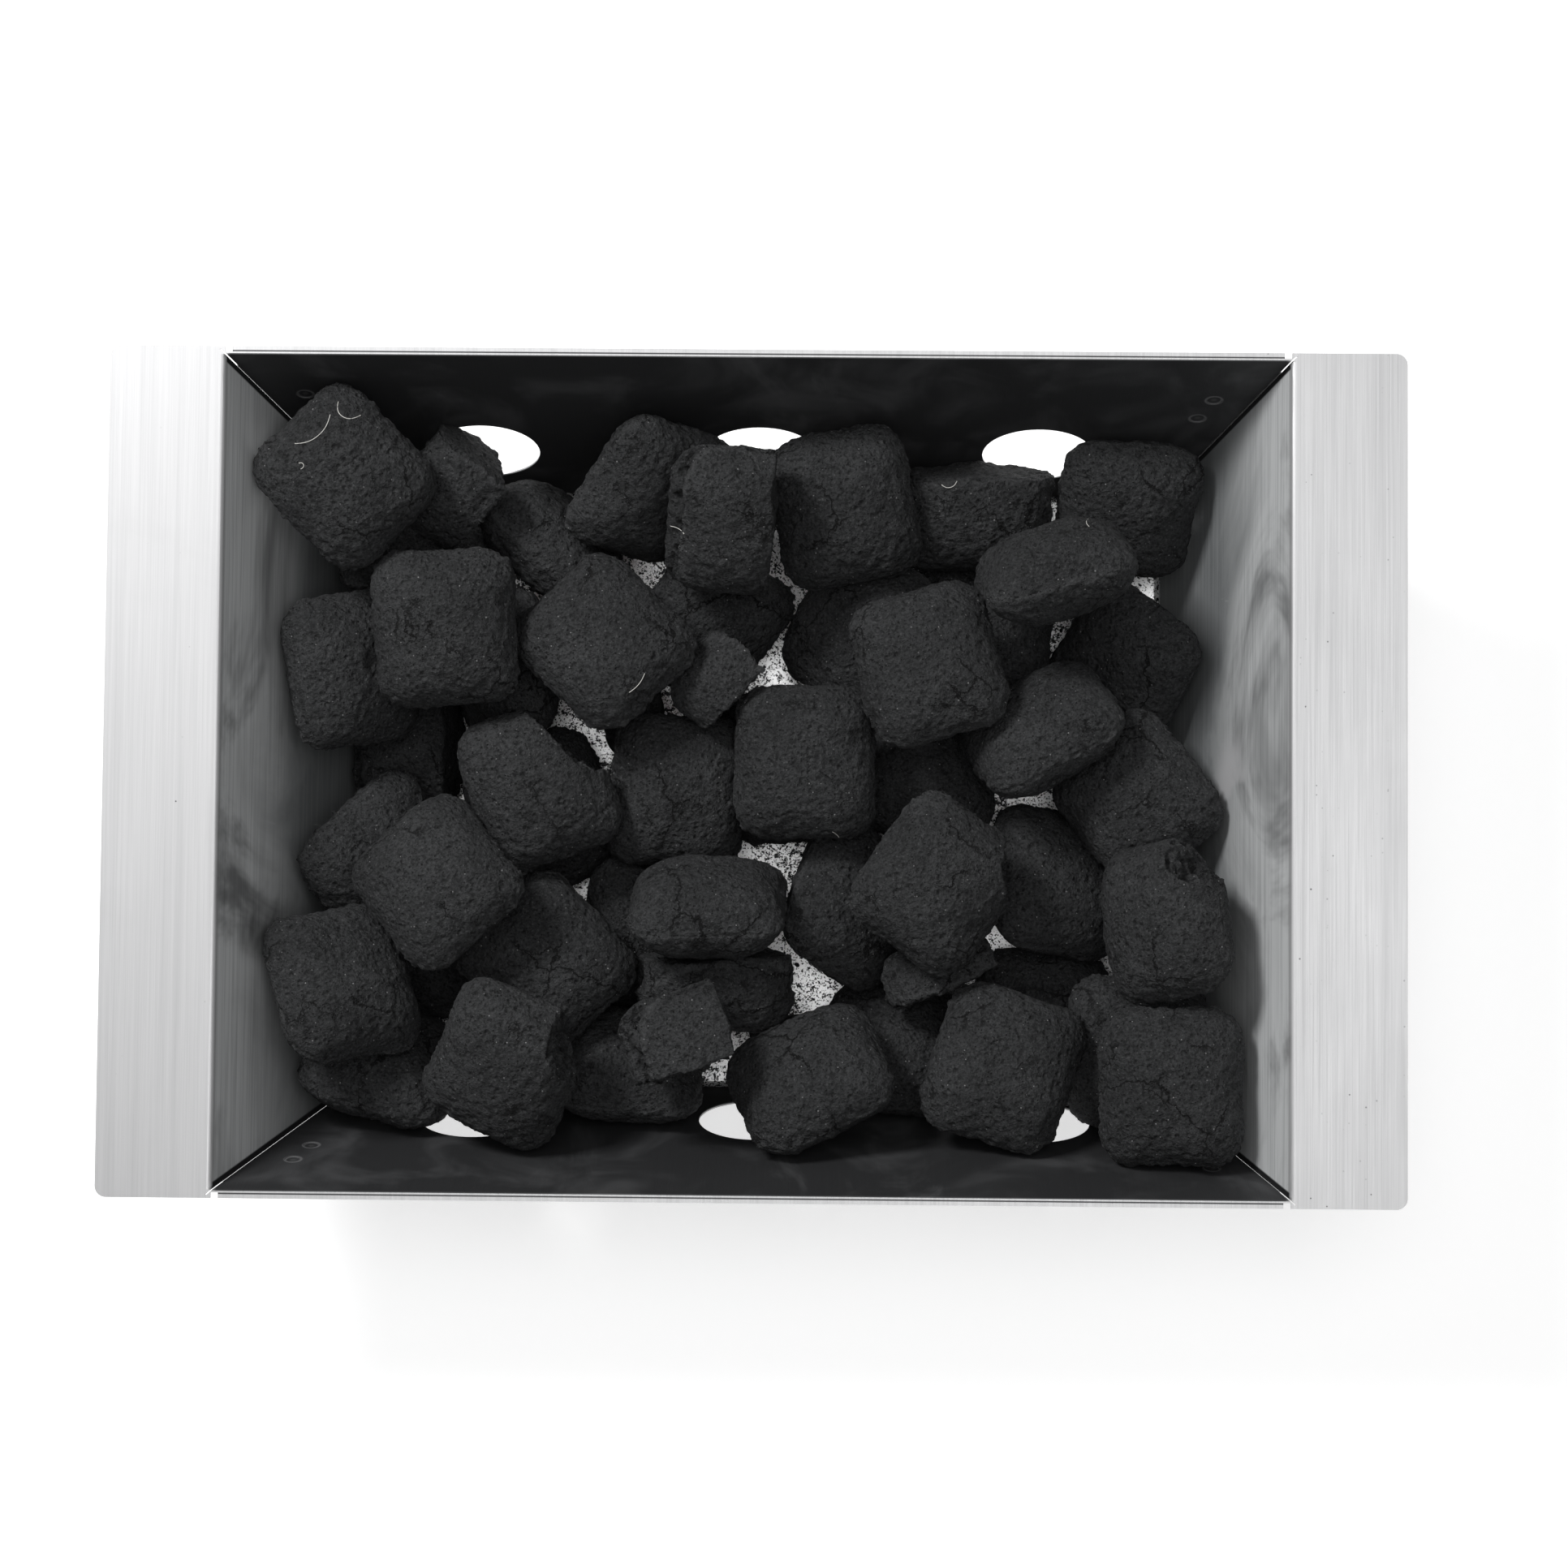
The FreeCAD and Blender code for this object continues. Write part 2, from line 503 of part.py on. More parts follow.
# The charge, from the floor of the tray upwards.  Each row is the name of the piece,
# where its middle belongs (across, along, up), how far it is turned about the vertical,
# how far its face leans over, the direction it leans towards, and its shape.
CHARGE = (
    ("briquette_01", 23, -93, 15, 20, 5, 200, "bit"),
    ("briquette_02", -121, 11, 15, 0, 10, 185, "side"),
    ("briquette_03", -80, -16, 15, 30, 5, 325, "whole"),
    ("briquette_04", -114, -76, 15, 5, 10, 265, "whole"),
    ("briquette_05", 72, 2, 15, -5, 20, 90, "whole"),
    ("briquette_06", 19, -1, 17, 0, 0, 255, "whole"),
    ("briquette_07", 102, -40, 21, -5, 35, 35, "whole"),
    ("briquette_08", -30, 30, 24, 10, 0, 0, "bit"),
    ("briquette_09", 104, -92, 24, -5, 5, 85, "whole"),
    ("briquette_10", -21, 63, 24, -35, 35, 300, "whole"),
    ("briquette_11", -89, -100, 26, 5, 20, 90, "stub"),
    ("briquette_12", 56, -105, 26, -5, 38, 90, "whole"),
    ("briquette_13", 29, 55, 26, -30, 35, 160, "whole"),
    ("briquette_14", 78, 61, 27, -5, 15, 85, "whole"),
    ("briquette_15", -47, -57, 28, -10, 25, 340, "whole"),
    ("briquette_16", 139, -98, 30, 0, 0, 100, "whole"),
    ("briquette_17", 134, 57, 30, -35, 35, 200, "whole"),
    ("briquette_18", -31, -5, 30, -5, 10, 330, "whole"),
    ("briquette_19", 36, -57, 30, -25, 40, 0, "whole"),
    ("briquette_20", 131, -9, 30, 40, 25, 180, "whole"),
    ("briquette_21", -85, 51, 32, 5, 60, 185, "whole"),
    ("briquette_22", -152, 43, 32, 10, 40, 0, "whole"),
    ("briquette_23", -151, -26, 34, -50, 40, 340, "side"),
    ("briquette_24", -49, 105, 34, -25, 52, 300, "whole"),
    ("briquette_25", 83, 104, 36, 88, 20, 270, "side"),
    ("briquette_26", -147, -113, 40, 75, 50, 75, "whole"),
    ("briquette_27", 135, 106, 44, -5, 42, 270, "whole"),
    ("briquette_28", 6, -117, 46, -65, 42, 115, "whole"),
    ("briquette_29", 36, 105, 46, 10, 10, 270, "whole"),
    ("briquette_30", -46, -103, 48, 85, 50, 85, "whole"),
    ("briquette_31", 21, -1, 50, 0, 0, 0, "whole"),
    ("briquette_32", -5, 34, 51, -40, 15, 0, "bit"),
    ("briquette_33", 71, -72, 51, -65, 5, 0, "sliver"),
    ("briquette_34", -117, 94, 52, 85, 50, 85, "whole"),
    ("briquette_35", -13, -46, 53, 90, 65, 92, "whole"),
    ("briquette_36", -5, 101, 54, -5, 30, 270, "side"),
    ("briquette_37", -69, 91, 54, 48, 72, 48, "whole"),
    ("briquette_38", -78, -70, 54, 43, 5, 85, "whole"),
    ("briquette_39", -55, 46, 54, 44, 12, 120, "whole"),
    ("briquette_40", 146, -56, 56, 10, 45, 180, "chip"),
    ("briquette_41", -72, -1, 58, 20, 5, 355, "corner"),
    ("briquette_42", -94, -109, 60, -25, 25, 240, "chip"),
    ("briquette_43", 109, 18, 60, -60, 55, 120, "whole"),
    ("briquette_44", 67, 34, 62, 15, 15, 110, "whole"),
    ("briquette_45", 151, -109, 62, 0, 12, 180, "whole"),
    ("briquette_46", -152, -75, 62, 15, 35, 40, "whole"),
    ("briquette_47", 65, -43, 66, -35, 10, 0, "chip"),
    ("briquette_48", -4, -79, 66, 90, 10, 270, "half"),
    ("briquette_49", -115, -38, 68, 40, 25, 130, "whole"),
    ("briquette_50", -106, 112, 68, -35, 35, 290, "stub"),
    ("briquette_51", 94, -117, 68, -18, 15, 90, "whole"),
    ("briquette_52", -10, -102, 76, -70, 5, 0, "stub"),
    ("briquette_53", -153, 110, 82, 45, 10, 315, "whole"),
    ("briquette_54", -119, 54, 83, 3, 5, 270, "whole"),
    ("briquette_55", 106, 81, 84, -74, 72, 106, "whole"),
)


def ring_profile():
    """Inset and height of every ring of half a pillow, from the seam inwards."""
    half_thickness = size("briquette_thickness") / 2
    profile = []
    for share, inset, corner in RINGS:
        if share is None:
            profile.append((0.0, 0.0))
        elif share == "full":
            profile.append((size(inset), half_thickness))
        else:
            profile.append((size(inset), size(share) * half_thickness))
    return profile


PROFILE = ring_profile()
HALF_W = size("briquette_width") / 2
HALF_L = size("briquette_length") / 2
SEAM_R = size("seam_corner")
RING_POINTS = (32, 24, 20, 12, 6)


def outline_point(half_x, half_y, corner, angle):
    """Point of a rounded rectangle seen from its middle in the given direction."""
    ux = math.cos(angle)
    uy = math.sin(angle)
    low = 0.0
    high = half_x + half_y
    for _ in range(30):
        middle = (low + high) / 2
        if outline_inset(middle * ux, middle * uy, half_x, half_y, corner) > 0:
            low = middle
        else:
            high = middle
    return low * ux, low * uy


def outline_inset(x, y, half_x, half_y, corner):
    """Distance of a point inside a rounded rectangle from its outline (negative outside)."""
    over_x = abs(x) - (half_x - corner)
    over_y = abs(y) - (half_y - corner)
    if over_x > 0 and over_y > 0:
        return corner - math.hypot(over_x, over_y)
    return min(half_x - abs(x), half_y - abs(y))


def outline_normal(x, y):
    """Outward direction of the seam outline nearest to a point of the pillow."""
    over_x = abs(x) - (HALF_W - SEAM_R)
    over_y = abs(y) - (HALF_L - SEAM_R)
    sign_x = 1 if x >= 0 else -1
    sign_y = 1 if y >= 0 else -1
    if over_x > 0 and over_y > 0:
        long = math.hypot(over_x, over_y)
        return sign_x * over_x / long, sign_y * over_y / long
    if HALF_W - abs(x) < HALF_L - abs(y):
        return sign_x, 0.0
    return 0.0, sign_y


def height_at(inset):
    """Half thickness of the pillow at an inset from the seam, with its slope."""
    for (near, low), (far, high) in zip(PROFILE, PROFILE[1:]):
        if inset <= far:
            slope = (high - low) / (far - near)
            return low + slope * (inset - near), slope
    return PROFILE[-1][1], 0.0


def removed(kind, x, y):
    """True where a broken piece has lost its material."""
    share_x = x / HALF_W
    share_y = y / HALF_L
    for corners in BREAKS[kind]:
        inside = False
        count = len(corners)
        for index in range(count):
            ax, ay = corners[index]
            bx, by = corners[(index + 1) % count]
            if (ay > share_y) != (by > share_y):
                if share_x < (bx - ax) * (share_y - ay) / (by - ay) + ax:
                    inside = not inside
        if inside:
            return True
    return False


def break_depth(kind, x, y):
    """Distance of a kept point from the nearest break, with the outward direction."""
    best = (1000.0, 0.0, 0.0)
    for corners in BREAKS[kind]:
        count = len(corners)
        for index in range(count):
            ax = corners[index][0] * HALF_W
            ay = corners[index][1] * HALF_L
            bx = corners[(index + 1) % count][0] * HALF_W
            by = corners[(index + 1) % count][1] * HALF_L
            run_x = bx - ax
            run_y = by - ay
            share = ((x - ax) * run_x + (y - ay) * run_y) / (run_x * run_x + run_y * run_y)
            share = min(1.0, max(0.0, share))
            gap_x = ax + share * run_x - x
            gap_y = ay + share * run_y - y
            gap = math.hypot(gap_x, gap_y)
            if gap < best[0]:
                best = (gap, gap_x / max(gap, 1e-6), gap_y / max(gap, 1e-6))
    return best


def skin_points(kind):
    """Points spread over the surface of a piece, in its own frame."""
    points = []
    for (inset, height), count in zip(PROFILE, RING_POINTS):
        corner = max(SEAM_R - inset, 1.0)
        for step in range(count):
            angle = 2 * math.pi * step / count
            x, y = outline_point(HALF_W - inset, HALF_L - inset, corner, angle)
            if removed(kind, x, y):
                continue
            for up in ((height, -height) if height else (0.0,)):
                points.append((x, y, up))
    for corners in BREAKS[kind]:
        for (ax, ay), (bx, by) in zip(corners, corners[1:]):
            for step in range(7):
                share = step / 6
                x = (ax + share * (bx - ax)) * HALF_W
                y = (ay + share * (by - ay)) * HALF_L
                inset = outline_inset(x, y, HALF_W, HALF_L, SEAM_R)
                if inset <= 0:
                    continue
                height, slope = height_at(inset)
                for part in (-1.0, -0.5, 0.0, 0.5, 1.0):
                    points.append((x, y, part * height))
    return points


def turned(matrix, point):
    """Point carried by a rotation given as nine numbers, row by row."""
    x, y, z = point
    return (
        matrix[0] * x + matrix[1] * y + matrix[2] * z,
        matrix[3] * x + matrix[4] * y + matrix[5] * z,
        matrix[6] * x + matrix[7] * y + matrix[8] * z,
    )


def rotation_of(turn, lean, towards):
    """Rotation of a piece: turned about the vertical, then leant over towards a direction."""
    heading = math.radians(towards)
    axis = FreeCAD.Vector(-math.sin(heading), math.cos(heading), 0)
    upright = FreeCAD.Rotation(FreeCAD.Vector(0, 0, 1), turn)
    return FreeCAD.Rotation(axis, lean).multiply(upright)


def rows_of(rotation):
    """The nine numbers of a rotation, row by row."""
    columns = [rotation.multVec(FreeCAD.Vector(*unit)) for unit in ((1, 0, 0), (0, 1, 0), (0, 0, 1))]
    return [getattr(column, axis) for axis in "xyz" for column in columns]


def sunk_depth(piece, point, spare):
    """How deep a point lies inside a piece swollen by the spare gap, and the way out."""
    matrix = piece["matrix"]
    dx = point[0] - piece["at"][0]
    dy = point[1] - piece["at"][1]
    dz = point[2] - piece["at"][2]
    z = matrix[2] * dx + matrix[5] * dy + matrix[8] * dz
    if abs(z) > PROFILE[-1][1] + spare:
        return None
    x = matrix[0] * dx + matrix[3] * dy + matrix[6] * dz
    if abs(x) > HALF_W + spare:
        return None
    y = matrix[1] * dx + matrix[4] * dy + matrix[7] * dz
    inset = outline_inset(x, y, HALF_W, HALF_L, SEAM_R)
    if inset <= -spare:
        return None
    height, slope = height_at(max(inset, 0.0))
    run = math.hypot(1.0, slope)
    deep = (height - abs(z)) / run + spare
    if inset < 0:
        deep = spare - math.hypot(inset, z)
    if deep <= 0:
        return None
    out_x, out_y = outline_normal(x, y)
    local = (out_x * slope / run, out_y * slope / run, (1.0 if z >= 0 else -1.0) / run)
    if BREAKS[piece["kind"]]:
        if removed(piece["kind"], x, y):
            gap, way_x, way_y = break_depth(piece["kind"], x, y)
            if gap >= spare:
                return None
            side_deep = spare - gap
            way_x = -way_x
            way_y = -way_y
        else:
            gap, way_x, way_y = break_depth(piece["kind"], x, y)
            side_deep = gap + spare
        if side_deep < deep:
            deep = side_deep
            local = (way_x, way_y, 0.0)
    return deep, turned(matrix, local)


def push_apart(lower, upper, spare, share_down, climb):
    """Move two touching pieces apart along the way out of their deepest overlap."""
    gap = [upper["at"][axis] - lower["at"][axis] for axis in range(3)]
    if gap[0] ** 2 + gap[1] ** 2 + gap[2] ** 2 > REACH_SQUARED:
        return 0.0
    deepest = 0.0
    way = None
    for owner, other, sign in ((lower, upper, 1.0), (upper, lower, -1.0)):
        at = other["at"]
        centre = owner["at"]
        for turned_point in other["skin"]:
            px = turned_point[0] + at[0]
            py = turned_point[1] + at[1]
            pz = turned_point[2] + at[2]
            if (px - centre[0]) ** 2 + (py - centre[1]) ** 2 + (pz - centre[2]) ** 2 > POINT_SQUARED:
                continue
            found = sunk_depth(owner, (px, py, pz), spare)
            if found and found[0] > deepest:
                deepest = found[0]
                way = [sign * part for part in found[1]]
    if way:
        for axis in range(3):
            upper["at"][axis] += way[axis] * deepest * (1 - share_down)
            lower["at"][axis] -= way[axis] * deepest * share_down
        upper["at"][2] += deepest * climb
    return deepest


def keep_in_tray(piece, spare):
    """Lift a piece off the floor and push it off the walls of the tray."""
    at = piece["at"]
    worst = 0.0
    low = min(point[2] for point in piece["skin"]) + at[2]
    if low < sheet + spare:
        at[2] += sheet + spare - low
    for axis, edge, lean in ((0, floor_x, lean_x), (1, floor_y, lean_y)):
        run = math.hypot(1.0, lean)
        for sign in (1, -1):
            deep = 0.0
            for point in piece["skin"]:
                up = point[2] + at[2] - sheet
                out = sign * (point[axis] + at[axis]) - (edge + lean * up) + spare * run
                deep = max(deep, out / run)
            if deep > 0:
                at[axis] -= sign * deep / run
                at[2] += deep * lean / run
                worst = max(worst, deep)
    return worst


REACH_SQUARED = (2 * math.hypot(HALF_W, HALF_L)) ** 2
POINT_SQUARED = math.hypot(HALF_W, HALF_L) ** 2
SINK_ROUNDS = 45
SETTLE_ROUNDS = 120
SINK_STEP = 1.2
HOME_PULL = 0.12
SINK_SHARE = 0.5
SETTLE_SHARE = 0.3
CLIMB = 0.25


def settle(pieces):
    """Let the charge down into the tray until nothing overlaps and nothing hangs free."""
    spare = size("clearance")
    for turn_number in range(SINK_ROUNDS + SETTLE_ROUNDS):
        sinking = turn_number < SINK_ROUNDS
        worst = 0.0
        if sinking:
            fade = 1.0 - turn_number / SINK_ROUNDS
            for piece in pieces:
                piece["at"][2] -= SINK_STEP * fade
                for axis in (0, 1):
                    piece["at"][axis] += HOME_PULL * fade * (piece["home"][axis] - piece["at"][axis])
        ordered = sorted(pieces, key=lambda piece: piece["at"][2])
        for number, upper in enumerate(ordered):
            for lower in ordered[:number]:
                if sinking:
                    overlap = push_apart(lower, upper, spare, SINK_SHARE, 0.0)
                else:
                    overlap = push_apart(lower, upper, spare, SETTLE_SHARE, CLIMB)
                worst = max(worst, overlap)
        for piece in pieces:
            worst = max(worst, keep_in_tray(piece, spare))
        if not sinking and worst < 0.02:
            break
    return worst


def ring_sketch(body, index, ring):
    """Sketch of one ring of half a pillow, lifted to its height."""
    share, inset, corner = ring
    half_x_text = "Sizes.briquette_width / 2"
    half_y_text = "Sizes.briquette_length / 2"
    inset_value = 0.0
    if inset:
        half_x_text += " - Sizes." + inset
        half_y_text += " - Sizes." + inset
        inset_value = size(inset)
    sketch = new_sketch(body, "Ring" + str(index))
    add_rounded_rectangle(
        sketch, HALF_W - inset_value, HALF_L - inset_value, size(corner),
        half_x_text, half_y_text, cell(corner))
    if share == "full":
        level(sketch, "Sizes.briquette_thickness / 2")
    elif share:
        level(sketch, "Sizes.briquette_thickness / 2 * Sizes." + share)
    return sketch


def make_briquette(name, kind):
    """One briquette: half a pillow lofted through its rings, mirrored, then broken."""
    body = doc.addObject("PartDesign::Body", name)
    body.Label = name
    rings = [ring_sketch(body, index, ring) for index, ring in enumerate(RINGS)]
    doc.recompute(rings)
    half = body.newObject("PartDesign::AdditiveLoft", "HalfPillow")
    half.Profile = rings[0]
    half.Sections = rings[1:]
    half.Ruled = False
    doc.recompute([half])
    pillow = body.newObject("PartDesign::Mirrored", "Pillow")
    pillow.Originals = [half]
    pillow.MirrorPlane = (origin_plane(body, "XY_Plane"), [""])
    body.Tip = pillow
    doc.recompute([pillow])
    for number, corners in enumerate(BREAKS[kind]):
        line = new_sketch(body, "BreakLine" + str(number))
        add_driven_loop(line, [
            (share_x * HALF_W, share_y * HALF_L,
             "Sizes.briquette_width / 2 * " + str(share_x),
             "Sizes.briquette_length / 2 * " + str(share_y))
            for share_x, share_y in corners])
        doc.recompute([line])
        lost = body.newObject("PartDesign::Pocket", "BrokenAway" + str(number))
        lost.Profile = line
        lost.Midplane = True
        lost.setExpression("Length", "Sizes.briquette_thickness * 2")
        doc.recompute([lost])
    body.recompute()
    return body


charge = []
skins = {kind: skin_points(kind) for kind in BREAKS}
for name, across, along, up, turn, lean, towards, kind in CHARGE:
    rotation = rotation_of(turn, lean, towards)
    matrix = rows_of(rotation)
    charge.append({
        "name": name,
        "kind": kind,
        "rotation": rotation,
        "matrix": matrix,
        "at": [float(across), float(along), float(up)],
        "home": (float(across), float(along)),
        "skin": [turned(matrix, point) for point in skins[kind]],
    })
settle(charge)

bodies = [tray]
for piece in charge:
    body = make_briquette(piece["name"], piece["kind"])
    body.Placement = FreeCAD.Placement(FreeCAD.Vector(*piece["at"]), piece["rotation"])
    bodies.append(body)
doc.recompute()


# ---------------------------------------------------------------------------
# Checks and files
# ---------------------------------------------------------------------------

for thing in doc.Objects:
    if "Invalid" in thing.State or "Error" in thing.State:
        raise ValueError("bad object " + thing.Name + " " + str(thing.State))
for body in bodies:
    if body.Shape.isNull() or not body.Shape.isValid() or len(body.Shape.Solids) != 1:
        raise ValueError("bad shape " + body.Label)

os.makedirs("parts", exist_ok=True)
for body in bodies:
    body.Shape.exportStep(os.path.join("parts", body.Label + ".step"))
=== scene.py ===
import json
import math
import random

import bmesh
import bpy
import numpy as np
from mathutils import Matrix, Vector


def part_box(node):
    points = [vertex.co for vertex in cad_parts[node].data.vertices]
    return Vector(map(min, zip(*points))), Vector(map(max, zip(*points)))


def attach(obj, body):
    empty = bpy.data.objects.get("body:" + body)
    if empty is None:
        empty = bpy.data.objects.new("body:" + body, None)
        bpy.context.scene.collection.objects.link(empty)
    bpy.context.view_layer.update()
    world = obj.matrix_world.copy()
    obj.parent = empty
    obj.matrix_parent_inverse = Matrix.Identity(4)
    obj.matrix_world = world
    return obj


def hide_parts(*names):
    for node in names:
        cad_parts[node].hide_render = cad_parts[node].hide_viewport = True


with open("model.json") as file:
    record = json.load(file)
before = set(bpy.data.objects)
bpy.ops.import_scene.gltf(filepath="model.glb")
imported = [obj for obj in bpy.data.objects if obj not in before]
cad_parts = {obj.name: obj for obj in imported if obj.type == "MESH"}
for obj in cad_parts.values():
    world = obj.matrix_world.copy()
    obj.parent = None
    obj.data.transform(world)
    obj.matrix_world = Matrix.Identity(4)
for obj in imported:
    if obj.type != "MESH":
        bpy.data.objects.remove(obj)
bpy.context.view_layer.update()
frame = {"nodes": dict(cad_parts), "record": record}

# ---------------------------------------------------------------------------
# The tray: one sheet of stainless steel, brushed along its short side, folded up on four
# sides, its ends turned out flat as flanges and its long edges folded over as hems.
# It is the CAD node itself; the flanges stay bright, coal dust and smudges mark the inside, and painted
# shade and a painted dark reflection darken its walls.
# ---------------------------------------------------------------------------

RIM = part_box("tray")[1].z
SHEET = 0.001
FLOOR_HALF_X = 0.1512
FLOOR_HALF_Y = 0.1124
MOUTH_HALF_X = 0.1892
MOUTH_HALF_Y = 0.1477
LEAN_X = (MOUTH_HALF_X - FLOOR_HALF_X) / (RIM - SHEET)
LEAN_Y = (MOUTH_HALF_Y - FLOOR_HALF_Y) / (RIM - SHEET)

CLEAN_STEEL = (0.51, 0.51, 0.515, 1.0)
DULL_STEEL = (0.72, 0.735, 0.74, 1.0)
SHADED_STEEL = (0.20, 0.21, 0.215, 1.0)
SMUDGE_AND_DARK_REFLECTION = (0.028, 0.0285, 0.030, 1.0)
SMUDGE_AND_REFLECTION_HAZE = (0.075, 0.076, 0.079, 1.0)
COAL_DUST_AND_GAP_SHADE = (0.018, 0.018, 0.019, 1.0)
FLOOR_STEEL = (0.95, 0.95, 0.95, 1.0)
HAZED_FLOOR = (0.62, 0.62, 0.625, 1.0)
BRUSH_DARK = (0.46, 0.46, 0.465, 1.0)
BRUSH_BROAD = (0.40, 0.40, 0.405, 1.0)
STAIN = (0.38, 0.38, 0.38, 1.0)
WALL_BRUSH = (0.34, 0.35, 0.355, 1.0)
WALL_SMEAR = (0.11, 0.112, 0.115, 1.0)
WELD_RING = (0.22, 0.22, 0.225, 1.0)
WELD_HEART = (0.10, 0.10, 0.10, 1.0)
WELD_MARKS = ((0.1644, 0.0768), (0.1598, 0.0634))
STRAY_SPECK = (0.03, 0.03, 0.032, 1.0)
HEM_SHADE = (0.06, 0.06, 0.062, 1.0)
PALE_SCRATCH = (0.55, 0.55, 0.56, 1.0)


def place_node(tree, kind, inputs=None, **settings):
    """Adds one node, with its settings, and fills its inputs with values or with links."""
    made = tree.nodes.new("ShaderNode" + kind)
    for setting, value in settings.items():
        setattr(made, setting, value)
    for socket, value in (inputs or {}).items():
        if isinstance(value, bpy.types.NodeSocket):
            tree.links.new(value, made.inputs[socket])
        else:
            made.inputs[socket].default_value = value
    return made


def reckon(tree, operation, first, second=0.0, third=0.0):
    """Arithmetic on masks and distances."""
    made = place_node(tree, "Math", {0: first, 1: second, 2: third}, operation=operation)
    return made.outputs[0]


def fade(tree, value, start, end, low=0.0, high=1.0):
    """Soft step from low to high as a value goes from start to end."""
    sockets = {"Value": value, "From Min": start, "From Max": end, "To Min": low, "To Max": high}
    return place_node(tree, "MapRange", sockets, interpolation_type="SMOOTHSTEP").outputs[0]


def layer(tree, mask, under, over):
    """One colour laid over another where the mask is one."""
    made = place_node(tree, "Mix", {0: mask, 6: under, 7: over}, data_type="RGBA")
    return made.outputs[2]


def grain_noise(tree, place, scale, detail=3.0, rough=0.55, twist=0.0):
    """Cloudy noise, from nought to one, at so many grains to the metre."""
    sockets = {"Vector": place, "Scale": scale, "Detail": detail, "Roughness": rough, "Distortion": twist}
    return place_node(tree, "TexNoise", sockets).outputs[0]


def stretched(tree, place, factors, turn=(0.0, 0.0, 0.0)):
    """Place on the object turned and then stretched, for brush marks and scratches."""
    sockets = {"Vector": place, "Scale": factors, "Rotation": turn}
    return place_node(tree, "Mapping", sockets).outputs[0]


def spot(tree, across, along, centre, radii):
    """How far a place is from the middle of an oval spot, one at its edge."""
    dx = reckon(tree, "DIVIDE", reckon(tree, "SUBTRACT", across, centre[0]), radii[0])
    dy = reckon(tree, "DIVIDE", reckon(tree, "SUBTRACT", along, centre[1]), radii[1])
    return reckon(tree, "SQRT", reckon(tree, "ADD", reckon(tree, "MULTIPLY", dx, dx),
                                       reckon(tree, "MULTIPLY", dy, dy)))


steel = bpy.data.materials.new("brushed_steel_smudges_painted_shade")
steel.use_nodes = True
tree = steel.node_tree
steel_shader = tree.nodes["Principled BSDF"]
place = place_node(tree, "TexCoord").outputs["Object"]
axes = place_node(tree, "SeparateXYZ", {0: place})
x, y, z = axes.outputs
far_x = reckon(tree, "ABSOLUTE", x)
far_y = reckon(tree, "ABSOLUTE", y)

# Where the sheet is what: long walls inside, floor, flanges; the rest inside is the end walls.
wall_line = reckon(tree, "MULTIPLY_ADD", z, LEAN_Y, FLOOR_HALF_Y - LEAN_Y * SHEET)
beyond_long = reckon(tree, "SUBTRACT", far_y, wall_line)
on_long = reckon(tree, "MULTIPLY", fade(tree, beyond_long, -0.0009, -0.0006),
                 fade(tree, beyond_long, 0.0003, 0.0006, 1.0, 0.0))
end_line = reckon(tree, "MULTIPLY_ADD", z, LEAN_X, FLOOR_HALF_X - LEAN_X * SHEET)
beyond_end = reckon(tree, "SUBTRACT", far_x, end_line)
outside = reckon(tree, "MAXIMUM", fade(tree, beyond_long, 0.0003, 0.0006),
                 fade(tree, beyond_end, 0.0005, 0.0008))
on_flange = reckon(tree, "MULTIPLY", fade(tree, far_x, MOUTH_HALF_X - 0.0022, MOUTH_HALF_X + 0.0012),
                   fade(tree, z, RIM - 0.0035, RIM - 0.0008))
on_floor = fade(tree, z, 0.0016, 0.0028, 1.0, 0.0)

# Brushing runs along the short side over the whole sheet.
fine_brush = grain_noise(tree, stretched(tree, place, (2600.0, 16.0, 16.0)), 1.0, 4.0, 0.6)
broad_brush = grain_noise(tree, stretched(tree, place, (420.0, 5.0, 5.0)), 1.0, 3.0, 0.5)
stains = grain_noise(tree, place, 14.0, 4.0, 0.6, 0.4)
smears = grain_noise(tree, stretched(tree, place, (26.0, 9.0, 13.0)), 1.0, 5.0, 0.62, 0.8)
blotches = grain_noise(tree, place, 30.0, 3.0, 0.55, 0.6)

bright = layer(tree, fade(tree, fine_brush, 0.30, 0.75), CLEAN_STEEL, BRUSH_DARK)
bright = layer(tree, fade(tree, broad_brush, 0.42, 0.80, 0.0, 0.5), bright, BRUSH_BROAD)
bright = layer(tree, fade(tree, stains, 0.50, 0.85, 0.0, 0.35), bright, STAIN)

# Inside, the end walls are painted lighter up high and darker towards the coal, as painted shade; the long
# walls all but black.
height = reckon(tree, "ADD", z, reckon(tree, "MULTIPLY", reckon(tree, "SUBTRACT", smears, 0.5), 0.10))
end_wall = layer(tree, fade(tree, height, 0.030, 0.090), SHADED_STEEL, DULL_STEEL)
end_wall = layer(tree, fade(tree, fine_brush, 0.35, 0.75, 0.0, 0.55), end_wall, WALL_BRUSH)
end_wall = layer(tree, fade(tree, smears, 0.52, 0.70, 0.0, 0.75), end_wall, SMUDGE_AND_REFLECTION_HAZE)
rubbed = spot(tree, y, z, (0.002, 0.062), (0.020, 0.016))
rubbed = reckon(tree, "MULTIPLY", fade(tree, rubbed, 0.35, 1.1, 1.0, 0.0), fade(tree, x, 0.05, 0.10))
rubbed = reckon(tree, "MULTIPLY", rubbed, fade(tree, blotches, 0.42, 0.62))
end_wall = layer(tree, rubbed, end_wall, PALE_SCRATCH)
dark_smear = spot(tree, y, z, (-0.052, 0.075), (0.016, 0.024))
dark_smear = reckon(tree, "MULTIPLY", fade(tree, dark_smear, 0.3, 1.15, 1.0, 0.0),
                    fade(tree, x, -0.05, -0.10))
dark_smear = reckon(tree, "MULTIPLY", dark_smear, fade(tree, blotches, 0.35, 0.6))
